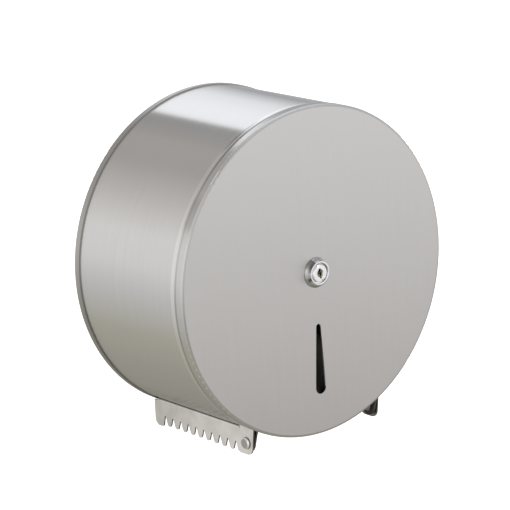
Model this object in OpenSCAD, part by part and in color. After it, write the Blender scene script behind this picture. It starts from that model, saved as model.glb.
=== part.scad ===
// Wall dispenser for one jumbo toilet roll: a round drum of sheet steel on a
// back plate, with a hinged and locked front cover and two toothed tear plates.
// Seen from the front, X runs to the right and Z up, and Y points into the wall.
// The origin is on the drum's axis, in the plane of the wall.

/* [Front cover] */
// Outside diameter of the front cover
cover_d = 240; // [220:1:300]
// Distance from the wall to the front of the cover
depth = 126; // [116:1:160]
// Thickness of the cover's sheet
cover_sheet = 1; // [0.8:0.1:1.4]
// Depth of the rim that is turned back from the face
cover_rim = 10; // [8.5:0.5:13]
// Outside radius of the bend between the face and the rim
cover_bend = 2.2; // [1.8:0.1:3]
// Clearance between the inside of the rim and the neck of the drum
rim_gap = 0.8; // [0.7:0.1:1.2]
// Clearance between the back of the face and the front of the drum
face_gap = 0.5; // [0.4:0.1:1]

/* [Viewing slot] */
// Distance from the lock's centre down to the top of the slot
slot_drop = 38; // [30:1:45]
// Height of the slot
slot_h = 52; // [40:0.5:60]
// Width of the slot's round top
slot_top_w = 4.2; // [3:0.1:5]
// Width of the slot's round bottom
slot_bottom_w = 9.4; // [7:0.1:11]

/* [Drum] */
// Thickness of the drum's sheet
drum_sheet = 0.8; // [0.6:0.1:1]
// Step from the outside of the cover's rim down to the drum
drum_inset = 0.4; // [0.2:0.1:0.8]
// Length of the slope between the drum and its narrower neck
shoulder_l = 1.5; // [1:0.1:3]
// Gap between the cover's rim and the foot of that slope
rim_lead = 0.8; // [0.5:0.1:2]
// Width of the lip that is turned in at the drum's front
lip_w = 5.4; // [3:0.2:7]
// Outside radius of the bend between the neck and the lip
lip_bend = 1.6; // [1.4:0.1:2.4]
// Width of the closed band that is left behind the paper exit
rear_band = 7; // [6:0.5:10]
// Width of the paper exit, side to side
opening_w = 78; // [70:1:80]

/* [Back plate] */
// Thickness of the back plate's sheet
back_sheet = 1; // [0.8:0.1:1.4]
// Depth of the back plate's turned rim
back_rim = 6.5; // [5:0.5:8]
// Outside radius of the bend between the back plate and its rim
back_bend = 2.4; // [1.8:0.1:3.5]
// Diameter of the pressed pad that carries the spindle
pad_d = 84; // [80:1:96]
// Height that the pad is pressed forward
pad_rise = 2; // [1.8:0.1:3]
// Width of the slope round the pad
pad_slope = 3; // [2:0.5:5]
// Diameter of the wall screw holes
wall_hole_d = 6; // [5:0.1:8]
// Distance between the wall screw holes, side to side
wall_holes_w = 130; // [120:1:150]
// Distance between the wall screw holes, top to bottom
wall_holes_h = 110; // [100:1:130]

/* [Tear plates] */
// Distance over the outsides of the two tear plates
exit_w = 119; // [104:1:130]
// Thickness of the tear plates
tear_sheet = 1.2; // [1:0.1:1.6]
// Number of whole teeth between the end lobes
tooth_count = 9; // [8:1:10]
// Height from the cut edge of the drum down to the tips of the teeth
tooth_hang = 20.3; // [20:0.1:24]
// Depth of the notches
notch_h = 7.3; // [6:0.1:8]
// Radius of the top of a notch
notch_r = 0.65; // [0.5:0.05:0.9]
// Radius of the tip of a tooth
tip_r = 2.4; // [2:0.1:2.8]
// Distance from the wall to the first notch
first_notch = 17; // [15:0.1:19]
// Distance from the wall to the rear edge of a tear plate
plate_wall_gap = 4.8; // [3:0.1:6]
// Radius of the lower rear corner
rear_corner_r = 5; // [4:0.5:7]
// How far the rear lobe hangs below the tips
rear_drop = 1.3; // [0:0.1:2]
// Width of the flange that is spot welded under the drum
weld_w = 11; // [8:0.5:14]

/* [Hinge] */
// Height from the cut edge of the drum down to the hinge's axis
pivot_hang = 12; // [11.5:0.1:13]
// Distance from the rear edge of the cover's rim back to the hinge's axis
pivot_setback = 4.4; // [3.5:0.1:6]
// Distance from the hinge's axis to the front edge of the plate's lobe
lobe_front = 7.1; // [6.6:0.1:7.6]
// Distance from the hinge's axis down to the lower edge of that lobe
lobe_drop = 8.5; // [8:0.1:9]
// Width of that lobe
lobe_w = 17.5; // [16:0.1:18.5]
// Radius of that lobe's lower corner at the front
lobe_corner_r = 6; // [5:0.5:7]
// Radius of that lobe's lower corner at the rear
lobe_rear_r = 4; // [3:0.5:6]
// How far the plate's front edge leans forward up to its top
front_lean = 2; // [0:0.1:2.2]
// Radius of the ear's lobe round the hinge rivet
ear_r = 6.8; // [6.5:0.1:7.5]
// Thickness of the hinge ears
ear_sheet = 1.5; // [1.2:0.1:2]
// Width of the ear's foot on the back of the cover
foot_w = 14; // [10:0.5:18]
// Height of the ear's foot
foot_h = 17; // [14:0.5:22]
// Diameter of the rivet's shank
rivet_d = 5; // [4:0.1:6]
// Diameter of the rivet's outside head
rivet_head_d = 9; // [8:0.1:10]
// Height of the rivet's outside head
rivet_head_h = 1.7; // [1.4:0.1:2.4]
// Thickness of the washer between plate and ear
hinge_washer_t = 0.8; // [0.5:0.1:1.2]
// Radial clearance of the ear on the rivet
hinge_play = 0.08; // [0.04:0.01:0.1]

/* [Spindle] */
// Outside diameter of the spindle
spindle_d = 45; // [44:0.5:50]
// Wall of the spindle
spindle_wall = 1.2; // [1:0.1:1.5]
// Diameter of the flange that carries the spindle
flange_d = 76; // [70:1:80]
// Thickness of that flange
flange_t = 1.5; // [1:0.1:2.5]
// Thickness of the plate in the spindle's front end
end_plate_t = 1.5; // [1.2:0.1:2]
// Shank diameter of the spindle's rivets
spindle_rivet_d = 4; // [3:0.1:4.5]

/* [Lock] */
// Diameter of the collar on the face of the cover
collar_d = 22; // [21.5:0.1:24]
// Diameter of the collar's front edge
collar_front_d = 17.6; // [17:0.1:19]
// Height of the collar
collar_h = 4.5; // [3.5:0.1:6]
// Diameter of the barrel
barrel_d = 19; // [18:0.1:19.5]
// Distance across the barrel's flats
barrel_flats = 16; // [15.5:0.1:17]
// Length of the barrel behind the cover
barrel_l = 12; // [11:0.5:15]
// Diameter of the plug that turns with the key
plug_d = 12; // [11:0.1:12.6]
// Width of the keyway over both of its legs
keyway_w = 2.6; // [2:0.1:3]
// Height of the keyway
keyway_h = 7.4; // [6:0.1:8]
// Depth of the pocket behind the keyway
keyway_depth = 13; // [10:0.5:14]
// Number of wafers in that pocket
wafer_count = 6; // [4:1:6]
// Distance across the flats of the lock nut
nut_flats = 24; // [23:0.5:26]
// Thickness of the lock nut
nut_t = 3.5; // [3:0.1:5]
// Distance from the lock's axis to the end of the cam
cam_reach = 18; // [16:0.5:18.5]
// Width of the cam
cam_w = 9; // [8:0.1:10]
// Thickness of the cam
cam_t = 2; // [1.5:0.1:2.5]
// Distance across the square on which the cam sits
cam_square = 7; // [6:0.1:7.5]

/* [Hidden] */
$fn = 96;
// Gap between two pieces that are fixed to each other round a curve
fixed_gap = 0.05;
// Gap between two flat faces that slide on each other
slide_gap = 0.1;
// Thickness of the small washers, and how far cuts run past what they cut
thin_washer_t = 0.8;
past = 1;

cover_r = cover_d / 2;
// The distances that start with out_ are measured out from the wall.
out_face_back = depth - cover_sheet;
out_rim_edge = depth - cover_rim;
rim_inner_r = cover_r - cover_sheet;

// Drum
drum_r = cover_r - drum_inset;
neck_r = rim_inner_r - rim_gap;
out_drum_front = out_face_back - face_gap;
out_shoulder_foot = out_rim_edge - rim_lead;
out_shoulder_top = out_shoulder_foot - shoulder_l;
out_drum_rear = back_bend + fixed_gap;
out_exit = back_sheet + rear_band;
back_r = drum_r + fixed_gap + back_sheet;

// Tear plates
plate_x = exit_w / 2;
plate_inner_x = plate_x - tear_sheet;
hinge_notch_x = plate_x + slide_gap;
weld_r = drum_r + fixed_gap;
edge_z = -sqrt(drum_r * drum_r - plate_x * plate_x);
tip_z = edge_z - tooth_hang;
notch_z = tip_z + notch_h - notch_r;
under_back_z = -sqrt(back_r * back_r - plate_inner_x * plate_inner_x) - 0.3;
fold_z = -sqrt(pow(weld_r + tear_sheet, 2) - plate_inner_x * plate_inner_x);
fold_corner = [plate_inner_x, fold_z];
front_top_z = edge_z + 0.4;
rear_lobe_z = tip_z - rear_drop;

// Hinge
pivot_z = edge_z - pivot_hang;
out_pivot = out_rim_edge - pivot_setback;
out_plate_front = out_pivot + lobe_front;
lobe_rear = out_plate_front - lobe_w;
lobe_z = pivot_z - lobe_drop;
last_notch = lobe_rear - 1.5;
notch_pitch = (last_notch - first_notch) / tooth_count;
out_weld_rear = out_exit + 0.3;
out_hinge_notch = out_pivot - ear_r;
out_weld_front = out_hinge_notch - 0.5;
ear_x = plate_inner_x - hinge_washer_t - slide_gap;
rivet_r = rivet_d / 2;
tail_r = rivet_r + 1.2;
tail_h = 1.2;
foot_z = -sqrt(pow(cover_r - cover_bend - 0.5, 2) - ear_x * ear_x);
ear_arm_depth = 7;

// Lock, measured out from the wall
out_barrel_end = out_face_back - barrel_l;
out_cam_front = out_barrel_end - slide_gap;
out_cam_back = out_cam_front - cam_t;
out_screw_seat = out_cam_back - thin_washer_t;
plug_r = plug_d / 2;
bore_r = plug_r + slide_gap / 2;
cap_r = plug_r + 0.4;
groove_r = cap_r + 0.8;
groove_depth = 1.4;
out_cap_front = depth + collar_h + 0.1;
screw_r = 2;
screw_l = 6;
pocket_w = 3.4;
pocket_h = 9.2;
pocket_cap = 1.2;
wafer_t = 0.8;
wafer_lift = 0.6;
wafer_pitch = (keyway_depth - pocket_cap - 1) / wafer_count;
out_wafers = out_cap_front - pocket_cap - 0.6 - wafer_t;
hub_r = (cam_square + cam_w) / 2;

// Spindle
spindle_r = spindle_d / 2;
spindle_inner_r = spindle_r - spindle_wall;
out_pad = pad_rise + back_sheet;
out_flange = out_pad + flange_t;
// The cam turns close behind the end plate, and the barrel passes through it.
out_end_plate_back = out_barrel_end + 0.7;
out_spindle = out_end_plate_back + end_plate_t;
barrel_hole_r = barrel_d / 2 + 1;
cam_slot_w = cam_w + 1.8;
cam_slot_reach = cam_reach + 1.2;
rivet_circle_r = (spindle_r + flange_d / 2) / 2;
spindle_rivet_r = spindle_rivet_d / 2;
spindle_rivet_count = 4;

// Stands a front view, or a shape that rises along Z, out from the wall.
module out_from_wall(distance) {
    translate([0, -distance, 0]) rotate([90, 0, 0]) children();
}

// Turns a section, drawn as radius and distance from the wall, about the drum's axis.
module turned() {
    out_from_wall(0) rotate_extrude() children();
}

// Makes a sheet from a side view, drawn as distance from the wall and height.
// Its outside face is at x, and it is as thick as the sheet towards the middle.
module side_sheet(x, sheet) {
    translate([x, 0, 0]) rotate([90, 0, -90]) linear_extrude(sheet) children();
}

// Moves a shape that rises along Z to the hinge's axis, pointing at the middle.
module on_pivot(x) {
    translate([x, -out_pivot, pivot_z]) rotate([0, -90, 0]) children();
}

// The mirror image that makes a left-hand piece of a right-hand one.
module left() {
    mirror([1, 0, 0]) children();
}

// Half section of a round block with its lower outer edge rounded.
module rounded_block(r, h, bend) {
    square([r - bend, h]);
    translate([0, bend]) square([r, h - bend]);
    translate([r - bend, bend]) circle(bend);
}

// Half section of a round pan with a turned rim.
module pan_section(r, rim, sheet, bend) {
    difference() {
        rounded_block(r, rim, bend);
        translate([0, sheet]) rounded_block(r - sheet, rim, bend - sheet);
    }
}

// Points along an arc, from one angle to another.
function arc(centre, r, from, to, steps) = [
    for (i = [0:steps])
        let (angle = from + (to - from) * i / steps)
        centre + r * [cos(angle), sin(angle)]
];

// Angle of a direction, from 0 to 360 degrees.
function heading(v) = (atan2(v[1], v[0]) + 360) % 360;

// Point where a line from p touches a circle, on the side that turn picks (1 or -1).
function touch(p, centre, r, turn) =
    let (to = centre - p)
    let (reach = norm(to))
    let (aim = heading(to) + turn * asin(r / reach))
    p + sqrt(reach * reach - r * r) * [cos(aim), sin(aim)];

// --- Fixed to the wall ---

module pad_section() {
    foot = pad_d / 2 + pad_slope;
    polygon([
        [0, pad_rise], [pad_d / 2, pad_rise], [foot, 0],
        [foot, back_sheet], [pad_d / 2, out_pad], [0, out_pad]
    ]);
}

module back_plate() {
    foot = pad_d / 2 + pad_slope;
    color([0.56, 0.56, 0.55]) difference() {
        turned() {
            difference() {
                pan_section(back_r, back_rim, back_sheet, back_bend);
                translate([0, -past]) square([foot, back_rim + 2 * past]);
            }
            pad_section();
        }
        for (x = [-1, 1] * wall_holes_w / 2, z = [-1, 1] * wall_holes_h / 2)
            out_from_wall(-past) translate([x, z, 0]) cylinder(h = back_sheet + 2 * past, d = wall_hole_d);
        spindle_rivet_places()
            out_from_wall(0) cylinder(h = out_pad + past, r = spindle_rivet_r + fixed_gap);
    }
}

// Half section of a block with the drum's outline, drawn in by a sheet's thickness.
module drum_block(inset) {
    bend = lip_bend - inset;
    front = out_drum_front - inset;
    polygon([
        [0, out_drum_rear], [drum_r - inset, out_drum_rear],
        [drum_r - inset, out_shoulder_top], [neck_r - inset, out_shoulder_foot],
        [neck_r - inset, front - bend], [neck_r - inset - bend, front], [0, front]
    ]);
    translate([neck_r - inset - bend, front - bend]) circle(bend);
}

module drum() {
    color([0.72, 0.71, 0.7]) difference() {
        turned() difference() {
            drum_block(0);
            drum_block(drum_sheet);
            square([neck_r - lip_w, depth]);
            square([drum_r - drum_sheet, out_drum_rear + past]);
        }
        // The paper exit, and the notch at the front that lets the hinge ears through.
        translate([-opening_w / 2, -out_hinge_notch - past, -cover_r])
            cube([opening_w, out_hinge_notch + past - out_exit, cover_r / 2]);
        translate([-hinge_notch_x, -depth, -cover_r])
            cube([2 * hinge_notch_x, depth - out_hinge_notch, cover_r / 2]);
    }
}

// Tip of a tooth, from flank to flank, centred at a distance from the wall.
function tooth_tip(out) =
    let (centre = [out, tip_z + tip_r])
    let (flank = touch([out - notch_pitch / 2 + notch_r, notch_z], centre, tip_r, -1))
    let (lean = heading(flank - centre))
    arc(centre, tip_r, lean, 360 + (180 - lean), 8);

// Lower rear corner of a tear plate, and the tip between it and the first notch.
function rear_lobe() =
    let (root = [first_notch - notch_r, notch_z])
    let (tip = [root[0] - notch_h / 2, rear_lobe_z + tip_r])
    let (flank = touch(root, tip, tip_r, 1))
    concat(
        arc([plate_wall_gap, rear_lobe_z] + [1, 1] * rear_corner_r, rear_corner_r, 180, 270, 10),
        arc(tip, tip_r, 270, heading(flank - tip), 6)
    );

// Notches and teeth, from the rear lobe to the front lobe.
function tooth_row() = [
    for (i = [0:tooth_count]) each concat(
        arc([first_notch + i * notch_pitch, notch_z], notch_r, 180, 0, 6),
        i < tooth_count ? tooth_tip(first_notch + (i + 0.5) * notch_pitch) : []
    )
];

// Lobe round the hinge rivet, and the front edge that leans forward above it.
function front_lobe() =
    let (top = [out_plate_front + front_lean, front_top_z])
    let (corner = [out_plate_front, lobe_z] + [-1, 1] * lobe_corner_r)
    let (edge = touch(top, corner, lobe_corner_r, 1))
    concat(
        arc([lobe_rear, lobe_z] + [1, 1] * lobe_rear_r, lobe_rear_r, 180, 270, 8),
        arc(corner, lobe_corner_r, 270, heading(edge - corner), 8),
        [top]
    );

// Upper edge, which stands up in the drum's front notch and keeps clear of the back plate's rim.
function top_edge() = [
    [out_hinge_notch + 0.3, front_top_z], [out_hinge_notch + 0.3, fold_z],
    [out_weld_rear, fold_z], [out_weld_rear, under_back_z], [plate_wall_gap, under_back_z]
];

// Section through the weld flange, which lies under the drum, and the fold to the plate.
module fold_section() {
    rear = heading(fold_corner);
    inner = 360 - acos((plate_x - weld_w) / weld_r);
    polygon(concat(
        arc([0, 0], weld_r, inner, rear, 8),
        arc(fold_corner, tear_sheet, rear - 180, 0, 8),
        [fold_corner + [tear_sheet, -past], fold_corner - [0, past]],
        arc([0, 0], weld_r + tear_sheet, rear, inner, 8)
    ));
}

module weld_flange() {
    out_from_wall(out_weld_rear) linear_extrude(out_weld_front - out_weld_rear) fold_section();
}

module tear_plate_right() {
    color([0.78, 0.77, 0.75]) difference() {
        union() {
            side_sheet(plate_x, tear_sheet)
                polygon(concat(rear_lobe(), tooth_row(), front_lobe(), top_edge()));
            weld_flange();
        }
        on_pivot(plate_x + past) cylinder(h = tear_sheet + 2 * past, r = rivet_r + fixed_gap);
    }
}

module tear_plate_left() {
    left() tear_plate_right();
}

module spindle_tube() {
    color([0.7, 0.7, 0.69]) turned()
        translate([spindle_inner_r, out_flange]) square([spindle_wall, out_spindle - out_flange]);
}

// Repeats a piece at each of the spindle's rivets.
module spindle_rivet_places() {
    for (i = [0:spindle_rivet_count - 1])
        rotate([0, 45 + i * 360 / spindle_rivet_count, 0]) translate([rivet_circle_r, 0, 0]) children();
}

module spindle_flange() {
    color([0.62, 0.62, 0.61]) difference() {
        turned() translate([spindle_inner_r, out_pad])
            square([flange_d / 2 - spindle_inner_r, flange_t]);
        spindle_rivet_places()
            out_from_wall(0) cylinder(h = out_flange + past, r = spindle_rivet_r + fixed_gap);
    }
}

module spindle_end_plate() {
    color([0.66, 0.66, 0.65]) difference() {
        out_from_wall(out_end_plate_back) cylinder(h = end_plate_t, r = spindle_inner_r - fixed_gap);
        out_from_wall(out_end_plate_back - past) cylinder(h = end_plate_t + 2 * past, r = barrel_hole_r);
        out_from_wall(out_end_plate_back - past) translate([-cam_slot_w / 2, 0, 0])
            cube([cam_slot_w, cam_slot_reach, end_plate_t + 2 * past]);
    }
}

// Half section of a rivet along its length: head, shank and formed tail.
module rivet_section(r, length, head_r, head_h, end_r, end_h) {
    edge = head_h * 0.6;
    polygon([
        [0, -head_h], [head_r - edge, -head_h], [head_r, -head_h + edge], [head_r, 0],
        [r, 0], [r, length], [end_r, length], [end_r, length + end_h * 0.5],
        [end_r - end_h * 0.5, length + end_h], [0, length + end_h]
    ]);
}

module spindle_rivets() {
    color([0.75, 0.75, 0.74]) spindle_rivet_places() out_from_wall(out_flange) mirror([0, 0, 1])
        rotate_extrude() rivet_section(
            spindle_rivet_r, out_flange - pad_rise,
            spindle_rivet_r * 1.8, 1.6,
            spindle_rivet_r * 1.6, pad_rise * 0.6);
}

module hinge_rivet_right() {
    shank = plate_x - ear_x + ear_sheet + slide_gap;
    color([0.8, 0.79, 0.77]) on_pivot(plate_x)
        rotate_extrude() rivet_section(rivet_r, shank, rivet_head_d / 2, rivet_head_h, tail_r, tail_h);
}

module hinge_rivet_left() {
    left() hinge_rivet_right();
}

module hinge_washer_right() {
    color([0.7, 0.7, 0.7]) on_pivot(plate_inner_x) difference() {
        cylinder(h = hinge_washer_t, r = rivet_r + 2);
        translate([0, 0, -past]) cylinder(h = hinge_washer_t + 2 * past, r = rivet_r + fixed_gap);
    }
}

module hinge_washer_left() {
    left() hinge_washer_right();
}

// --- Moving with the cover ---

// Slot with two round ends and the two lines that touch both, hanging from y = 0.
module tapered_slot(top_w, bottom_w, h) {
    top_r = top_w / 2;
    bottom_r = bottom_w / 2;
    lean = asin((bottom_r - top_r) / (h - top_r - bottom_r));
    polygon(concat(
        arc([0, -top_r], top_r, lean, 180 - lean, 16),
        arc([0, bottom_r - h], bottom_r, 180 - lean, 360 + lean, 24)
    ));
}

// Front view of the barrel: a circle with a flat on each side.
module barrel_outline(clearance) {
    intersection() {
        circle(barrel_d / 2 + clearance);
        square([barrel_flats + 2 * clearance, 2 * barrel_d], center = true);
    }
}

module front_cover() {
    color([0.76, 0.75, 0.74]) difference() {
        turned() translate([0, depth]) mirror([0, 1])
            pan_section(cover_r, cover_rim, cover_sheet, cover_bend);
        out_from_wall(out_face_back - past) linear_extrude(cover_sheet + 2 * past) {
            translate([0, -slot_drop]) tapered_slot(slot_top_w, slot_bottom_w, slot_h);
            barrel_outline(slide_gap);
        }
        // The rim stops at the tear plates, so that the cover can swing past them.
        rim_opening = hinge_notch_x + 0.7;
        translate([-rim_opening, -(depth - cover_bend - 0.3), -cover_r - past])
            cube([2 * rim_opening, cover_rim, cover_r / 2]);
    }
}

// Side view of an ear: a lobe on the hinge's axis and an arm up to the cover's face.
module ear_profile() {
    pivot = [out_pivot, pivot_z];
    arm_top = [out_face_back - ear_arm_depth, foot_z + foot_h];
    arm_front = [out_face_back - 4.5, edge_z - 5.5];
    difference() {
        union() {
            polygon([
                touch(arm_front, pivot, ear_r, 1), arm_front,
                [out_face_back - cover_bend, foot_z - 1],
                [out_face_back, foot_z], [out_face_back, foot_z + foot_h],
                arm_top, touch(arm_top, pivot, ear_r, -1), pivot
            ]);
            translate(pivot) circle(ear_r);
        }
        translate(pivot) circle(rivet_r + hinge_play);
    }
}

module hinge_ear_right() {
    color([0.6, 0.6, 0.59]) {
        side_sheet(ear_x, ear_sheet) ear_profile();
        translate([ear_x - foot_w, -out_face_back, foot_z])
            cube([foot_w, ear_sheet, foot_h]);
    }
}

module hinge_ear_left() {
    left() hinge_ear_right();
}

module lock_housing() {
    head_r = collar_d / 2;
    front_r = collar_front_d / 2;
    color([0.85, 0.85, 0.86]) {
        out_from_wall(depth) rotate_extrude() polygon([
            [bore_r, 0], [head_r, 0], [head_r, collar_h * 0.18], [head_r - 0.4, collar_h * 0.3],
            [front_r + 0.5, collar_h * 0.86], [front_r - 0.2, collar_h],
            [groove_r + 0.3, collar_h], [groove_r, collar_h - 0.3],
            [groove_r, collar_h - groove_depth], [bore_r, collar_h - groove_depth]
        ]);
        out_from_wall(out_barrel_end) linear_extrude(barrel_l + cover_sheet) difference() {
            barrel_outline(0);
            circle(bore_r);
        }
    }
}

module lock_washer() {
    color([0.7, 0.7, 0.72]) out_from_wall(out_face_back - thin_washer_t) difference() {
        cylinder(h = thin_washer_t, d = nut_flats + 2);
        translate([0, 0, -past]) cylinder(h = thin_washer_t + 2 * past, d = barrel_d + 2 * slide_gap);
    }
}

module lock_nut() {
    color([0.75, 0.72, 0.6]) out_from_wall(out_face_back - thin_washer_t - nut_t) difference() {
        cylinder(h = nut_t, d = nut_flats / cos(30), $fn = 6);
        translate([0, 0, -past]) cylinder(h = nut_t + 2 * past, d = barrel_d + 2 * fixed_gap);
    }
}

// --- Turning with the key ---

// Front view of the keyway: two legs that stand side by side and meet in the middle.
module keyway_outline() {
    out = keyway_w / 2;
    in = keyway_w * 0.15;
    top = keyway_h / 2;
    step = keyway_h * 0.1;
    polygon([
        [-out, top], [in, top], [in, step], [out, step],
        [out, -top], [-in, -top], [-in, -step], [-out, -step]
    ]);
}

module lock_plug() {
    out_cap_back = depth + collar_h - groove_depth + slide_gap;
    out_cap_edge = out_cap_front - 0.5;
    color([0.88, 0.87, 0.86]) difference() {
        union() {
            turned() polygon([
                [0, out_cam_front], [plug_r, out_cam_front],
                [plug_r, out_cap_back], [cap_r, out_cap_back],
                [cap_r, out_cap_edge], [cap_r - 0.5, out_cap_front], [0, out_cap_front]
            ]);
            out_from_wall(out_cam_back) linear_extrude(cam_t + past) square(cam_square, center = true);
        }
        out_from_wall(out_cap_front - pocket_cap - past) linear_extrude(pocket_cap + 2 * past)
            keyway_outline();
        out_from_wall(out_cap_front - keyway_depth) linear_extrude(keyway_depth - pocket_cap)
            square([pocket_w, pocket_h], center = true);
        out_from_wall(out_cap_front - 0.4) cylinder(h = 0.4 + past, r = keyway_h * 0.4);
        out_from_wall(out_cam_back - past) cylinder(h = screw_l + past, r = screw_r + fixed_gap);
    }
}

// The windows for the key stand high and low by turns.
module wafer_outline(window_z) {
    difference() {
        square([pocket_w - 2 * fixed_gap, pocket_h - 2 * fixed_gap], center = true);
        translate([0, window_z]) square([keyway_w * 0.6, keyway_h * 0.62], center = true);
    }
}

module lock_wafers() {
    color([0.72, 0.58, 0.32]) for (i = [0:wafer_count - 1])
        out_from_wall(out_wafers - i * wafer_pitch) linear_extrude(wafer_t)
            wafer_outline(i % 2 == 0 ? wafer_lift : -wafer_lift);
}

module lock_cam() {
    color([0.72, 0.7, 0.62]) out_from_wall(out_cam_back) linear_extrude(cam_t) difference() {
        union() {
            circle(hub_r);
            translate([-cam_w / 2, 0]) square([cam_w, cam_reach - cam_w / 2]);
            translate([0, cam_reach - cam_w / 2]) circle(cam_w / 2);
        }
        square(cam_square + 2 * fixed_gap, center = true);
    }
}

module cam_washer() {
    color([0.7, 0.7, 0.72]) out_from_wall(out_screw_seat) difference() {
        cylinder(h = thin_washer_t, r = screw_r * 2.6);
        translate([0, 0, -past]) cylinder(h = thin_washer_t + 2 * past, r = screw_r + fixed_gap);
    }
}

module cam_screw() {
    head_h = 2.2;
    slot_w = 1;
    color([0.72, 0.72, 0.74]) difference() {
        out_from_wall(out_screw_seat - head_h) rotate_extrude() polygon([
            [0, 0], [screw_r * 1.6, 0], [screw_r * 2, 0.8], [screw_r * 2, head_h],
            [screw_r, head_h], [screw_r, head_h + thin_washer_t + screw_l - 0.5],
            [0, head_h + thin_washer_t + screw_l - 0.5]
        ]);
        out_from_wall(out_screw_seat - head_h - past) linear_extrude(1 + past)
            square([slot_w, screw_r * 5], center = true);
    }
}

back_plate();
drum();
tear_plate_left();
tear_plate_right();
spindle_tube();
spindle_flange();
spindle_end_plate();
spindle_rivets();
hinge_rivet_left();
hinge_rivet_right();
hinge_washer_left();
hinge_washer_right();
front_cover();
hinge_ear_left();
hinge_ear_right();
lock_housing();
lock_nut();
lock_washer();
lock_plug();
lock_wafers();
lock_cam();
cam_washer();
cam_screw();
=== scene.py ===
import math
from collections import namedtuple
from functools import cached_property

import bpy
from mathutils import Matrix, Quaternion, Vector

# Looks of a round wall dispenser for one jumbo toilet roll. Everything is in metres, in the
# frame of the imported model: X to the right, Y into the wall, Z up, with the origin where the
# drum's axis meets the wall.

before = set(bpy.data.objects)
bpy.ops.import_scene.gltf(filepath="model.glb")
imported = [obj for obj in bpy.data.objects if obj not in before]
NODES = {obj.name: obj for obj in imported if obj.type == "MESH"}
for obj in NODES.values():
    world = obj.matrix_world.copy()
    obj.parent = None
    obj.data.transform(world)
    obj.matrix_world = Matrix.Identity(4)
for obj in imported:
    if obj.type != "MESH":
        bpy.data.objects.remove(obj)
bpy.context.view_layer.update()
MM = 0.001


# ---------------------------------------------------------------- camera

def make_camera():
    """Stands the camera where the photograph was taken from."""
    middle = Vector((0, -63.1, 0)) * MM
    distance = 1.9033
    yaw, pitch, roll = (math.radians(a) for a in (38.662, 14.599, -2.802))
    focal_pixels, picture = 2622.7, 510
    offset_right, offset_up = -4.762, 2.556
    sensor = 36
    level = math.cos(pitch)
    back = Vector((-math.sin(yaw) * level, -math.cos(yaw) * level, math.sin(pitch)))
    data = bpy.data.cameras.new("camera")
    data.sensor_width = sensor
    data.lens = focal_pixels / picture * sensor
    data.shift_x = offset_right / picture
    data.shift_y = offset_up / picture
    camera = bpy.data.objects.new("camera", data)
    bpy.context.scene.collection.objects.link(camera)
    camera.rotation_mode = "QUATERNION"
    camera.rotation_quaternion = Quaternion(back, roll) @ back.to_track_quat("Z", "Y")
    camera.location = middle + back * distance
    bpy.context.scene.camera = camera


# ---------------------------------------------------------------- node trees

class Tree:
    """Short calls that add nodes to a tree and link them."""

    def __init__(self, owner):
        owner.use_nodes = True
        self.tree = owner.node_tree
        self.tree.nodes.clear()

    def add(self, kind, inputs=None, **settings):
        node = self.tree.nodes.new(kind)
        for name, value in settings.items():
            setattr(node, name, value)
        for key, value in (inputs or {}).items():
            self.put(node.inputs[key], value)
        return node

    def put(self, socket, value):
        if isinstance(value, bpy.types.NodeSocket):
            self.tree.links.new(value, socket)
        elif value is not None:
            socket.default_value = value

    def math(self, operation, a, b=None, c=None):
        node = self.add("ShaderNodeMath", operation=operation)
        for socket, value in zip(node.inputs, (a, b, c)):
            self.put(socket, value)
        return node.outputs[0]

    def product(self, first, *others):
        for other in others:
            first = self.math("MULTIPLY", first, other)
        return first

    def vector(self, operation, a, b=None, scale=None):
        node = self.add("ShaderNodeVectorMath", operation=operation)
        self.put(node.inputs[0], a)
        self.put(node.inputs[1], b)
        if scale is not None:
            self.put(node.inputs["Scale"], scale)
        return node.outputs["Vector"]

    def split(self, vector):
        return self.add("ShaderNodeSeparateXYZ", {0: vector}).outputs

    def join(self, x, y, z):
        return self.add("ShaderNodeCombineXYZ", {0: x, 1: y, 2: z}).outputs[0]

    def remap(self, value, low, high, to_low=0.0, to_high=1.0, smooth=False):
        node = self.add("ShaderNodeMapRange", {
            "Value": value, "From Min": low, "From Max": high,
            "To Min": to_low, "To Max": to_high,
        }, interpolation_type="SMOOTHSTEP" if smooth else "LINEAR")
        return node.outputs[0]

    def noise(self, vector, scale, detail=2.0, roughness=0.5):
        node = self.add("ShaderNodeTexNoise", {
            "Vector": vector, "Scale": scale, "Detail": detail, "Roughness": roughness,
        })
        return node.outputs[0]

    def mix(self, factor, a, b):
        """Blends two colours."""
        return self.add("ShaderNodeMixRGB", {0: factor, 1: a, 2: b}).outputs[0]

    def ramp(self, value, stops):
        node = self.add("ShaderNodeValToRGB", {0: value})
        ramp = node.color_ramp
        while len(ramp.elements) < len(stops):
            ramp.elements.new(1.0)
        for element, (place, colour) in zip(ramp.elements, stops):
            element.position = place
            element.color = (*colour, 1)
        return node.outputs[0]

    def turn(self, x, z):
        """The angle round the drum's axis as a share of a turn: 0 is up and 0.25 is left."""
        return self.math("DIVIDE", self.math("ARCTAN2", self.product(x, -1.0), z), math.tau)

    def ring(self, turn, stops):
        """A colour by the angle round the drum's axis, from stops in degrees."""
        whole = self.math("WRAP", turn, 1.0, 0.0)
        return self.ramp(whole, [(angle / 360, colour) for angle, colour in stops])


# ---------------------------------------------------------------- studio

COOL = (0.965, 0.985, 1.02)
PLAIN = (1.0, 0.985, 0.975)
WARM = (1.02, 0.985, 0.955)
ROSE = (1.03, 0.945, 0.94)
OLIVE = (1.02, 1.0, 0.86)


def lit(level, tint):
    """A light's colour from its brightness and its tint."""
    return tuple(level * t for t in tint)


# The direction from the object to the place that the studio is set up for.
TOWARDS = (-0.6046, -0.7556, 0.2521)
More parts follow.
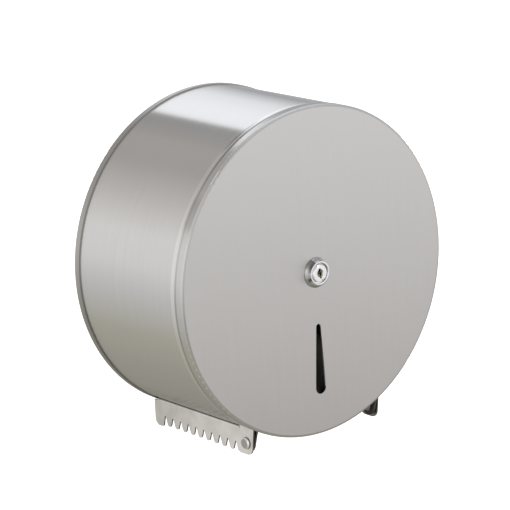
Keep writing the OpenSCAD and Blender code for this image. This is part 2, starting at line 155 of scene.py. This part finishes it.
# What the round sides show, by the angle of the surface that mirrors it: 0 faces up and 90
# faces left. A soft box with a sharp edge hangs over the top, and a pale card stands at the
# left. Between them and below, the studio is dark.
RING = [
    (0, 0.95, COOL), (5, 1.27, COOL), (12, 1.40, COOL), (22.6, 1.44, COOL),
    (23.4, 0.30, WARM), (30, 0.45, WARM), (35, 0.55, WARM), (45, 0.54, WARM),
    (55, 0.70, WARM), (60, 0.80, WARM), (70, 1.03, PLAIN), (80, 1.01, PLAIN),
    (90, 0.81, PLAIN), (105, 0.57, OLIVE), (120, 0.47, OLIVE), (140, 0.37, OLIVE),
    (180, 0.35, OLIVE), (230, 0.45, OLIVE), (270, 0.70, PLAIN), (300, 0.62, PLAIN),
    (343, 0.64, COOL), (353, 0.46, COOL), (360, 0.95, COOL),
]
# The soft box hangs at a slant: at the top of the round sides, surfaces that lean forward a
# little mirror it this many degrees further round. How far they lean is the Y of their
# outward direction.
SLIP = 23
SLIP_STARTS, SLIP_IS_FULL, SLIP_FADES, SLIP_ENDS = -0.15, -0.23, -0.4, -0.5
SLIP_FALLS_FROM_TOP = 6.0
# What stands in front of the object, by the height of the direction, from -1 straight down to
# 1 straight up.
FRONT = [
    (-1.0, 0.30, OLIVE), (-0.45, 0.34, OLIVE), (-0.33, 0.54, ROSE), (-0.26, 0.84, PLAIN),
    (-0.19, 1.07, PLAIN), (0.2, 1.1, PLAIN), (0.7, 1.0, COOL), (1.0, 1.0, COOL),
]
# The front takes over from the round sides between these leans, on surfaces that face forward.
FRONT_STARTS, FRONT_IS_FULL = -0.75, -0.9


def make_studio():
    """Lights the scene from all round, and gives the camera a white background."""
    world = bpy.data.worlds.new("studio")
    bpy.context.scene.world = world
    t = Tree(world)
    way = t.add("ShaderNodeTexCoord").outputs["Generated"]
    mirror = t.vector("NORMALIZE", t.vector("ADD", way, TOWARDS))
    x, lean, z = t.split(mirror)
    slips = t.product(t.remap(lean, SLIP_STARTS, SLIP_IS_FULL, smooth=True),
                      t.remap(lean, SLIP_ENDS, SLIP_FADES, smooth=True))
    near_top = t.math("POWER", t.math("MAXIMUM", z, 0.0), SLIP_FALLS_FROM_TOP)
    turn = t.math("SUBTRACT", t.turn(x, z), t.product(slips, near_top, SLIP / 360))
    ring = t.ring(turn, [(angle, lit(level, tint)) for angle, level, tint in RING])
    height = t.math("MULTIPLY_ADD", t.split(way)[2], 0.5, 0.5)
    front = t.ramp(height, [((h + 1) / 2, lit(level, tint)) for h, level, tint in FRONT])
    ahead = t.remap(lean, FRONT_STARTS, FRONT_IS_FULL, smooth=True)
    studio = t.add("ShaderNodeBackground", {"Color": t.mix(ahead, ring, front)})
    white = t.add("ShaderNodeBackground", {"Color": (1, 1, 1, 1)})
    seen = t.add("ShaderNodeLightPath").outputs["Is Camera Ray"]
    mix = t.add("ShaderNodeMixShader", {0: seen, 1: studio.outputs[0], 2: white.outputs[0]})
    t.add("ShaderNodeOutputWorld", {"Surface": mix.outputs[0]})
    bpy.context.scene.view_settings.view_transform = "Standard"


def make_floor():
    """Lays a plain pale floor under the object."""
    drop, half = 0.36, 8.0
    corners = [(-half, -half), (half, -half), (half, half), (-half, half)]
    mesh = bpy.data.meshes.new("floor")
    mesh.from_pydata([(x, y, -drop) for x, y in corners], [], [(0, 1, 2, 3)])
    floor = bpy.data.objects.new("floor", mesh)
    bpy.context.scene.collection.objects.link(floor)
    material = bpy.data.materials.new("pale_floor")
    t = Tree(material)
    shader = t.add("ShaderNodeBsdfPrincipled", {
        "Base Color": (0.9, 0.9, 0.9, 1), "Roughness": 0.9, "Specular IOR Level": 0.1,
        "Emission Color": (1, 1, 1, 1), "Emission Strength": 0.72,
    })
    t.add("ShaderNodeOutputMaterial", {"Surface": shader.outputs[0]})
    mesh.materials.append(material)
    floor.visible_glossy = False
    floor.visible_diffuse = False


# ---------------------------------------------------------------- places on the metal

class Spot:
    """The point that is being shaded, in the piece's own axes, which are those of the frame."""

    def __init__(self, t):
        self.t = t
        here = t.add("ShaderNodeTexCoord")
        self.place = here.outputs["Object"]
        self.out = here.outputs["Normal"]
        self.x, self.y, self.z = t.split(self.place)
        self.out_x, self.out_y, self.out_z = t.split(self.out)

    @cached_property
    def radius(self):
        """The distance from the drum's axis."""
        squares = self.t.product(self.x, self.x), self.t.product(self.z, self.z)
        return self.t.math("SQRT", self.t.math("ADD", *squares))

    @cached_property
    def depth(self):
        """The distance from the wall."""
        return self.t.product(self.y, -1.0)

    @cached_property
    def outwards(self):
        """Above 0 where the surface faces away from the drum's axis, and below 0 towards it."""
        parts = self.t.product(self.x, self.out_x), self.t.product(self.z, self.out_z)
        return self.t.math("ADD", *parts)

    @cached_property
    def sideways(self):
        """Above 0 where it faces away from the plane between left and right, below 0 towards it."""
        return self.t.product(self.x, self.out_x)


def reach(t, value, start, end, to_start=0.0, to_end=1.0, smooth=False):
    """Goes from one number to another as a value goes from start to end, in millimetres."""
    return t.remap(value, start * MM, end * MM, to_start, to_end, smooth=smooth)


def band(t, value, low, high, soft):
    """1 between low and high, in millimetres, and 0 past a soft margin on either side."""
    rise = reach(t, value, low - soft, low, smooth=True)
    fall = reach(t, value, high, high + soft, 1.0, 0.0, smooth=True)
    return t.product(rise, fall)


def toned(t, *parts):
    """Multiplies tones, each of which counts only as far as its mask is 1."""
    tones = []
    for mask, tone in parts:
        change = tone - 1 if isinstance(tone, float) else t.math("SUBTRACT", tone, 1.0)
        tones.append(t.math("MULTIPLY_ADD", mask, change, 1.0))
    return t.product(*tones)


# What changes from place to place on a brushed piece: its tone, how polished it is (0 to 1),
# and a height in metres.
Look = namedtuple("Look", "tone polish height", defaults=(None, None))


def shade_near_exit(t, at):
    """1 at the lowest part of the round sides, next to the paper exit, where painted shade darkens
    them.
    """
    return reach(t, at.z, -82, -98, smooth=True)


def drum_look(t, at):
    """The front edge carries a painted highlight, with painted shade over a stretch near the top,
    and painted shade darkens the inside and the lowest part next to the paper exit.
    """
    # Painted highlight along the front edge, with painted shade on a stretch of it near the top.
    edge = band(t, at.depth, low=113.6, high=116, soft=1.2)
    upper = reach(t, at.z, 0, 10)
    stretch = band(t, t.math("ABSOLUTE", at.x), low=44, high=62, soft=12)
    exit_shade = shade_near_exit(t, at)
    front = reach(t, at.depth, 95, 114)
    # Painted shade on the inside of the drum.
    inside = reach(t, at.outwards, 0, -20)
    return Look(toned(t, (inside, 0.45), (edge, 1.16), (t.product(stretch, upper, edge), 0.72),
                      (exit_shade, 0.8), (t.product(exit_shade, front), 0.72)))


def cover_look(t, at):
    """The rim has a painted highlight at its rear edge, painted shade in bands, a fine fold and a
    slight crown.
    """
    rim = t.product(reach(t, at.radius, 119.3, 119.7), reach(t, at.depth, 124.5, 124))
    # Painted highlight along the rim's rear edge, and painted shade over its lowest part and a
    # stretch higher up.
    rear = t.product(rim, band(t, at.depth, low=115, high=117, soft=0.4))
    exit_shade = t.product(rim, shade_near_exit(t, at), reach(t, at.depth, 121, 118))
    stretch_shade = t.product(rim, band(t, at.z, low=56, high=66, soft=10))

    # A dark line of painted shade runs round the rim: it is darkest at the top, faint below that,
    # and darker again in the lower half.
    shade_line = t.product(rim, band(t, at.depth, low=118, high=119.3, soft=0.6))
    shade_line_tone = t.product(reach(t, at.z, 62, 92, 0.86, 0.58),
                            reach(t, at.z, 104, 113, 1.0, 0.75),
                            reach(t, at.z, 30, 0, 1.0, 0.8))

    # Here the rim bends into the face, and painted shade darkens the bend high up. The fold on the
    # face's side of the bend carries painted shade in the upper half and a painted highlight low
    # down.
    bend = t.product(band(t, at.depth, low=125.2, high=126.2, soft=0.5),
                     reach(t, at.radius, 118.9, 119.2))
    bend_shade = t.product(bend, band(t, at.z, low=55, high=95, soft=12))
    fold = t.product(band(t, at.radius, low=118, high=119, soft=0.3),
                     reach(t, at.depth, 124.3, 124.8))
    fold_shade_and_highlight = reach(t, at.z, -10, -55, 0.74, 1.16)

    # Painted shade on the inside face of the cover.
    inside = t.remap(at.out_y, 0.2, 0.6)
    tone = toned(t, (rim, 0.87), (inside, 0.6), (rear, 1.2), (exit_shade, 0.6), (bend_shade, 0.76),
                 (stretch_shade, 0.8), (shade_line, shade_line_tone), (fold, fold_shade_and_highlight))
    outside = reach(t, at.outwards, -20, -10)
    crown = t.product(reach(t, at.depth, 119.5, 125, 0.0, -1.5 * MM), outside)
    return Look(tone, rim, crown)


def plate_look(t, at):
    """The outside face is cloudy and darker towards the wall, and painted shade darkens the cut
    edges and the inside.
    """
    edge_and_inside_shade = reach(t, at.sideways, 30, 10, smooth=True)
    clouds = t.remap(t.noise(at.place, 75.0, detail=3.0), 0.35, 0.65, 0.92, 1.08)
    darker_towards_wall = reach(t, at.depth, 85, 10, 1.04, 0.84)
    return Look(t.product(toned(t, (edge_and_inside_shade, 0.3)), clouds, darker_towards_wall))


def ear_shade_look(t, at):
    """The side that faces the paper is darkened with painted shade."""
    return Look(toned(t, (reach(t, at.sideways, 0, -20, smooth=True), 0.2)))


def rivet_light_and_shade(t, at):
    """The head's flat is darker, its bevel keeps the pale colour as a painted highlight, and
    painted shade darkens its side and inner end.
    """
    outwards = t.product(at.out_x, t.math("SIGN", at.x))
    flat = t.remap(outwards, 0.9, 0.97)
    side = t.remap(outwards, 0.45, 0.25)
    return toned(t, (flat, 0.42), (side, 0.18))


# Painted reflection on the collar's cone: its tone by the angle round the lock, 0 is up and 90 is
# left.
COLLAR_REFLECTION = [
    (0, 0.52), (20, 0.38), (40, 0.36), (60, 0.44), (70, 0.66), (102, 0.64), (110, 0.48),
    (118, 0.62), (130, 0.85), (180, 0.85), (230, 0.95), (310, 0.9), (345, 0.65), (360, 0.52),
]
# By what the painted reflection makes the cone darker still where it meets the collar's front edge.
COLLAR_WEDGE_REFLECTION = [
    (0, 1.0), (30, 0.8), (50, 0.4), (76, 0.4), (82, 0.8), (100, 0.8), (106, 0.3),
    (116, 0.3), (122, 1.0), (360, 1.0),
]


def collar_painted_reflection(t, at):
    """The cone of the collar carries a painted reflection, dark in places."""
    turn = t.turn(at.x, at.z)
    reflection, wedge_reflection = (
        t.split(t.ring(turn, [(angle, (tone, tone, tone)) for angle, tone in stops]))[0]
        for stops in (COLLAR_REFLECTION, COLLAR_WEDGE_REFLECTION)
    )
    inner = reach(t, at.radius, 10.2, 9.6)
    front_edge = t.remap(at.out_y, -0.8, -0.9)
    return t.math("MAXIMUM", t.product(reflection, toned(t, (inner, wedge_reflection))), front_edge)


def plug_mouth_shade(t, at):
    """Painted shade darkens the mouth of the keyway."""
    mouth_half_w, mouth_half_h = 2.7 * MM, 3.1 * MM
    across = t.math("DIVIDE", at.x, mouth_half_w)
    upwards = t.math("DIVIDE", at.z, mouth_half_h)
    from_middle = t.math("ADD", t.product(across, across), t.product(upwards, upwards))
    return toned(t, (t.remap(from_middle, 1.1, 0.7, smooth=True), 0.22))


# ---------------------------------------------------------------- metals

# How many brush marks there are to the metre, along and across them, and how much each kind
# of mark counts.
FINE_MARKS, FINE_SHARE = (9.0, 900.0), 0.5
BROAD_MARKS, BROAD_SHARE = (14.0, 190.0), 0.3
CLOUDS, CLOUD_SHARE = 22.0, 0.2
# Most of a noise texture lies between these.
NOISE_LOW, NOISE_HIGH = 0.3, 0.7
DRUM_RADIUS = 0.12
# How much smoother a fully polished place is.
POLISH_CHANGE = -0.45
# How deep the marks and specks are.
MARK_DEPTH = 0.1 * MM


def round_grain(t, at):
    """Marks that run round the drum, and the direction in which they blur reflections."""
    along = t.product(t.math("ARCTAN2", at.x, at.z), DRUM_RADIUS)
    across = t.math("ADD", at.y, at.radius)
    return along, across, t.join(0.0, 1.0, 0.0)


def upright_grain(t, at):
    """Marks that run up the flat sheet that a piece was pressed from, and fold over its rim."""
    away_x, _, away_z = t.split(t.vector("NORMALIZE", t.join(at.x, 0.0, at.z)))
    round_way = t.join(away_z, 0.0, t.product(away_x, -1.0))
    rise = t.vector("CROSS_PRODUCT", at.out, round_way)
    blur = t.vector("ADD", t.vector("SCALE", round_way, scale=t.product(away_z, -1.0)),
                    t.vector("SCALE", rise, scale=t.product(away_x, -1.0)))
    return at.z, at.x, blur


def brushed_steel(name, colour, roughness, anisotropy, grain=upright_grain, look=None):
    """Sheet steel with fine brushing, and with what a look changes from place to place."""
    streak, bump = 0.03, 0.02
    material = bpy.data.materials.new(name)
    t = Tree(material)
    at = Spot(t)
    along, across, blur = grain(t, at)

    def marks(closeness, seed, **texture):
        points = t.join(t.product(along, closeness[0]), t.product(across, closeness[1]), seed)
        return t.noise(points, 1.0, **texture)

    fine = marks(FINE_MARKS, seed=0.0, detail=3.0, roughness=0.7)
    broad = marks(BROAD_MARKS, seed=5.0)
    cloud = t.noise(at.place, CLOUDS)
    mixed = t.product(cloud, CLOUD_SHARE)
    mixed = t.math("MULTIPLY_ADD", broad, BROAD_SHARE, mixed)
    mixed = t.math("MULTIPLY_ADD", fine, FINE_SHARE, mixed)
    tone = t.remap(mixed, NOISE_LOW, NOISE_HIGH, 1 - streak, 1 + streak)
    rough = t.remap(mixed, NOISE_LOW, NOISE_HIGH,
                    roughness * (1 - 2 * streak), roughness * (1 + 2 * streak))
    shape = None
    if look:
        change = look(t, at)
        tone = t.product(tone, change.tone)
        if change.polish is not None:
            polish = t.math("MULTIPLY_ADD", change.polish, POLISH_CHANGE, 1.0)
            rough = t.product(rough, polish)
        if change.height is not None:
            bent = t.add("ShaderNodeBump", {
                "Height": change.height, "Strength": 1.0, "Distance": 1.0,
            })
            shape = bent.outputs[0]
    relief = t.add("ShaderNodeBump", {
        "Height": fine, "Strength": bump, "Distance": MARK_DEPTH, "Normal": shape,
    })
    tangent = t.add("ShaderNodeVectorTransform", {0: blur}, vector_type="VECTOR",
                    convert_from="OBJECT", convert_to="WORLD")
    shader = t.add("ShaderNodeBsdfPrincipled", {
        "Base Color": t.vector("SCALE", colour, scale=tone), "Metallic": 1.0,
        "Roughness": rough, "Anisotropic": anisotropy, "Normal": relief.outputs[0],
        "Tangent": tangent.outputs[0],
    })
    t.add("ShaderNodeOutputMaterial", {"Surface": shader.outputs[0]})
    return material


def plain_metal(name, colour, roughness, speck=0.03, tone_at=None):
    """Turned, plated or polished metal with faint specks, darker in places where told."""
    specks_per_metre, bump, rough_change = 700.0, 0.05, 0.15
    material = bpy.data.materials.new(name)
    t = Tree(material)
    at = Spot(t)
    spots = t.noise(at.place, specks_per_metre, detail=4.0, roughness=0.6)
    tone = t.remap(spots, NOISE_LOW, NOISE_HIGH, 1 - speck, 1 + speck)
    if tone_at:
        tone = t.product(tone, tone_at(t, at))
    rough = t.remap(spots, NOISE_LOW, NOISE_HIGH,
                    roughness * (1 - rough_change), roughness * (1 + rough_change))
    relief = t.add("ShaderNodeBump", {
        "Height": spots, "Strength": bump, "Distance": MARK_DEPTH,
    })
    shader = t.add("ShaderNodeBsdfPrincipled", {
        "Base Color": t.vector("SCALE", colour, scale=tone), "Metallic": 1.0,
        "Roughness": rough, "Normal": relief.outputs[0],
    })
    t.add("ShaderNodeOutputMaterial", {"Surface": shader.outputs[0]})
    return material


# ---------------------------------------------------------------- CAD nodes

def smooth_group():
    """Shades a mesh smooth, apart from edges sharper than the limit."""
    sharp_angle = math.radians(28)
    group = bpy.data.node_groups.new("smooth_by_angle", "GeometryNodeTree")
    for in_out in ("INPUT", "OUTPUT"):
        group.interface.new_socket("Geometry", in_out=in_out, socket_type="NodeSocketGeometry")
    nodes, links = group.nodes, group.links
    start, end = nodes.new("NodeGroupInput"), nodes.new("NodeGroupOutput")
    angle = nodes.new("GeometryNodeInputMeshEdgeAngle")
    blunt = nodes.new("FunctionNodeCompare")
    blunt.operation = "LESS_EQUAL"
    blunt.inputs["B"].default_value = sharp_angle
    edges = nodes.new("GeometryNodeSetShadeSmooth")
    faces = nodes.new("GeometryNodeSetShadeSmooth")
    edges.domain = "EDGE"
    links.new(angle.outputs["Unsigned Angle"], blunt.inputs["A"])
    links.new(start.outputs[0], faces.inputs["Geometry"])
    links.new(faces.outputs[0], edges.inputs["Geometry"])
    links.new(blunt.outputs[0], edges.inputs["Shade Smooth"])
    links.new(edges.outputs[0], end.inputs[0])
    return group


def dress(piece, material, smooth_by_angle):
    """Gives a CAD node its material, smooth shading and slightly broken edges."""
    weld_distance = 1e-6
    edge_width, edge_angle = 0.12 * MM, math.radians(32)
    weld = piece.modifiers.new("weld", "WELD")
    weld.merge_threshold = weld_distance
    bevel = piece.modifiers.new("edges", "BEVEL")
    bevel.width = edge_width
    bevel.segments = 2
    bevel.limit_method = "ANGLE"
    bevel.angle_limit = edge_angle
    bevel.use_clamp_overlap = True
    smooth = piece.modifiers.new("smooth", "NODES")
    smooth.node_group = smooth_by_angle
    normals = piece.modifiers.new("normals", "WEIGHTED_NORMAL")
    normals.keep_sharp = True
    piece.data.materials.clear()
    piece.data.materials.append(material)


def dress_cad_nodes():
    drum = brushed_steel("drum_steel", (0.605, 0.6, 0.596), roughness=0.23, anisotropy=0.88,
                         grain=round_grain, look=drum_look)
    cover = brushed_steel("cover_steel", (0.66, 0.655, 0.65), roughness=0.36, anisotropy=0.9,
                          look=cover_look)
    back = brushed_steel("back_steel", (0.41, 0.4, 0.385), roughness=0.34, anisotropy=0.8)
    tear = brushed_steel("tear_steel", (0.72, 0.705, 0.68), roughness=0.42, anisotropy=0.5,
                         look=plate_look)
    tube = brushed_steel("tube_steel", (0.58, 0.58, 0.57), roughness=0.3, anisotropy=0.9,
                         grain=round_grain)
    # The ears' dark colour is painted shade: they sit in shadow under the drum.
    ear = brushed_steel("shaded_ear_steel", (0.2, 0.185, 0.17), roughness=0.4, anisotropy=0.4,
                        look=ear_shade_look)
    end_plate = brushed_steel("end_plate_steel", (0.5, 0.5, 0.49), roughness=0.4,
                              anisotropy=0.4)
    rivet = plain_metal("rivet_steel", (0.62, 0.61, 0.58), roughness=0.3)
    # The pale colour is the painted highlight on the hinge rivets' bevels; the rest of each head is
    # darkened from it.
    hinge_rivet = plain_metal("hinge_rivet_steel", (0.9, 0.89, 0.86), roughness=0.25,
                              tone_at=rivet_light_and_shade)
    zinc = plain_metal("bright_zinc", (0.6, 0.6, 0.62), roughness=0.38)
    yellow = plain_metal("yellow_zinc", (0.66, 0.58, 0.36), roughness=0.36)
    chrome = plain_metal("chrome", (0.84, 0.84, 0.86), roughness=0.08, speck=0.01,
                         tone_at=collar_painted_reflection)
    plug = plain_metal("plug_nickel", (0.97, 0.97, 0.98), roughness=0.14, speck=0.02,
                       tone_at=plug_mouth_shade)
    brass = plain_metal("wafer_brass", (0.62, 0.45, 0.22), roughness=0.4)
    wear = {
        "drum": drum, "front_cover": cover, "back_plate": back,
        "tear_plate_left": tear, "tear_plate_right": tear,
        "spindle_tube": tube, "spindle_flange": tube, "spindle_end_plate": end_plate,
        "spindle_rivets": rivet,
        "hinge_rivet_left": hinge_rivet, "hinge_rivet_right": hinge_rivet,
        "hinge_washer_left": zinc, "hinge_washer_right": zinc,
        "hinge_ear_left": ear, "hinge_ear_right": ear,
        "lock_housing": chrome, "lock_plug": plug, "lock_wafers": brass,
        "lock_nut": yellow, "lock_washer": zinc,
        "lock_cam": yellow, "cam_washer": zinc, "cam_screw": zinc,
    }
    smooth_by_angle = smooth_group()
    for node, material in wear.items():
        dress(NODES[node], material, smooth_by_angle)


make_camera()
make_studio()
make_floor()
dress_cad_nodes()
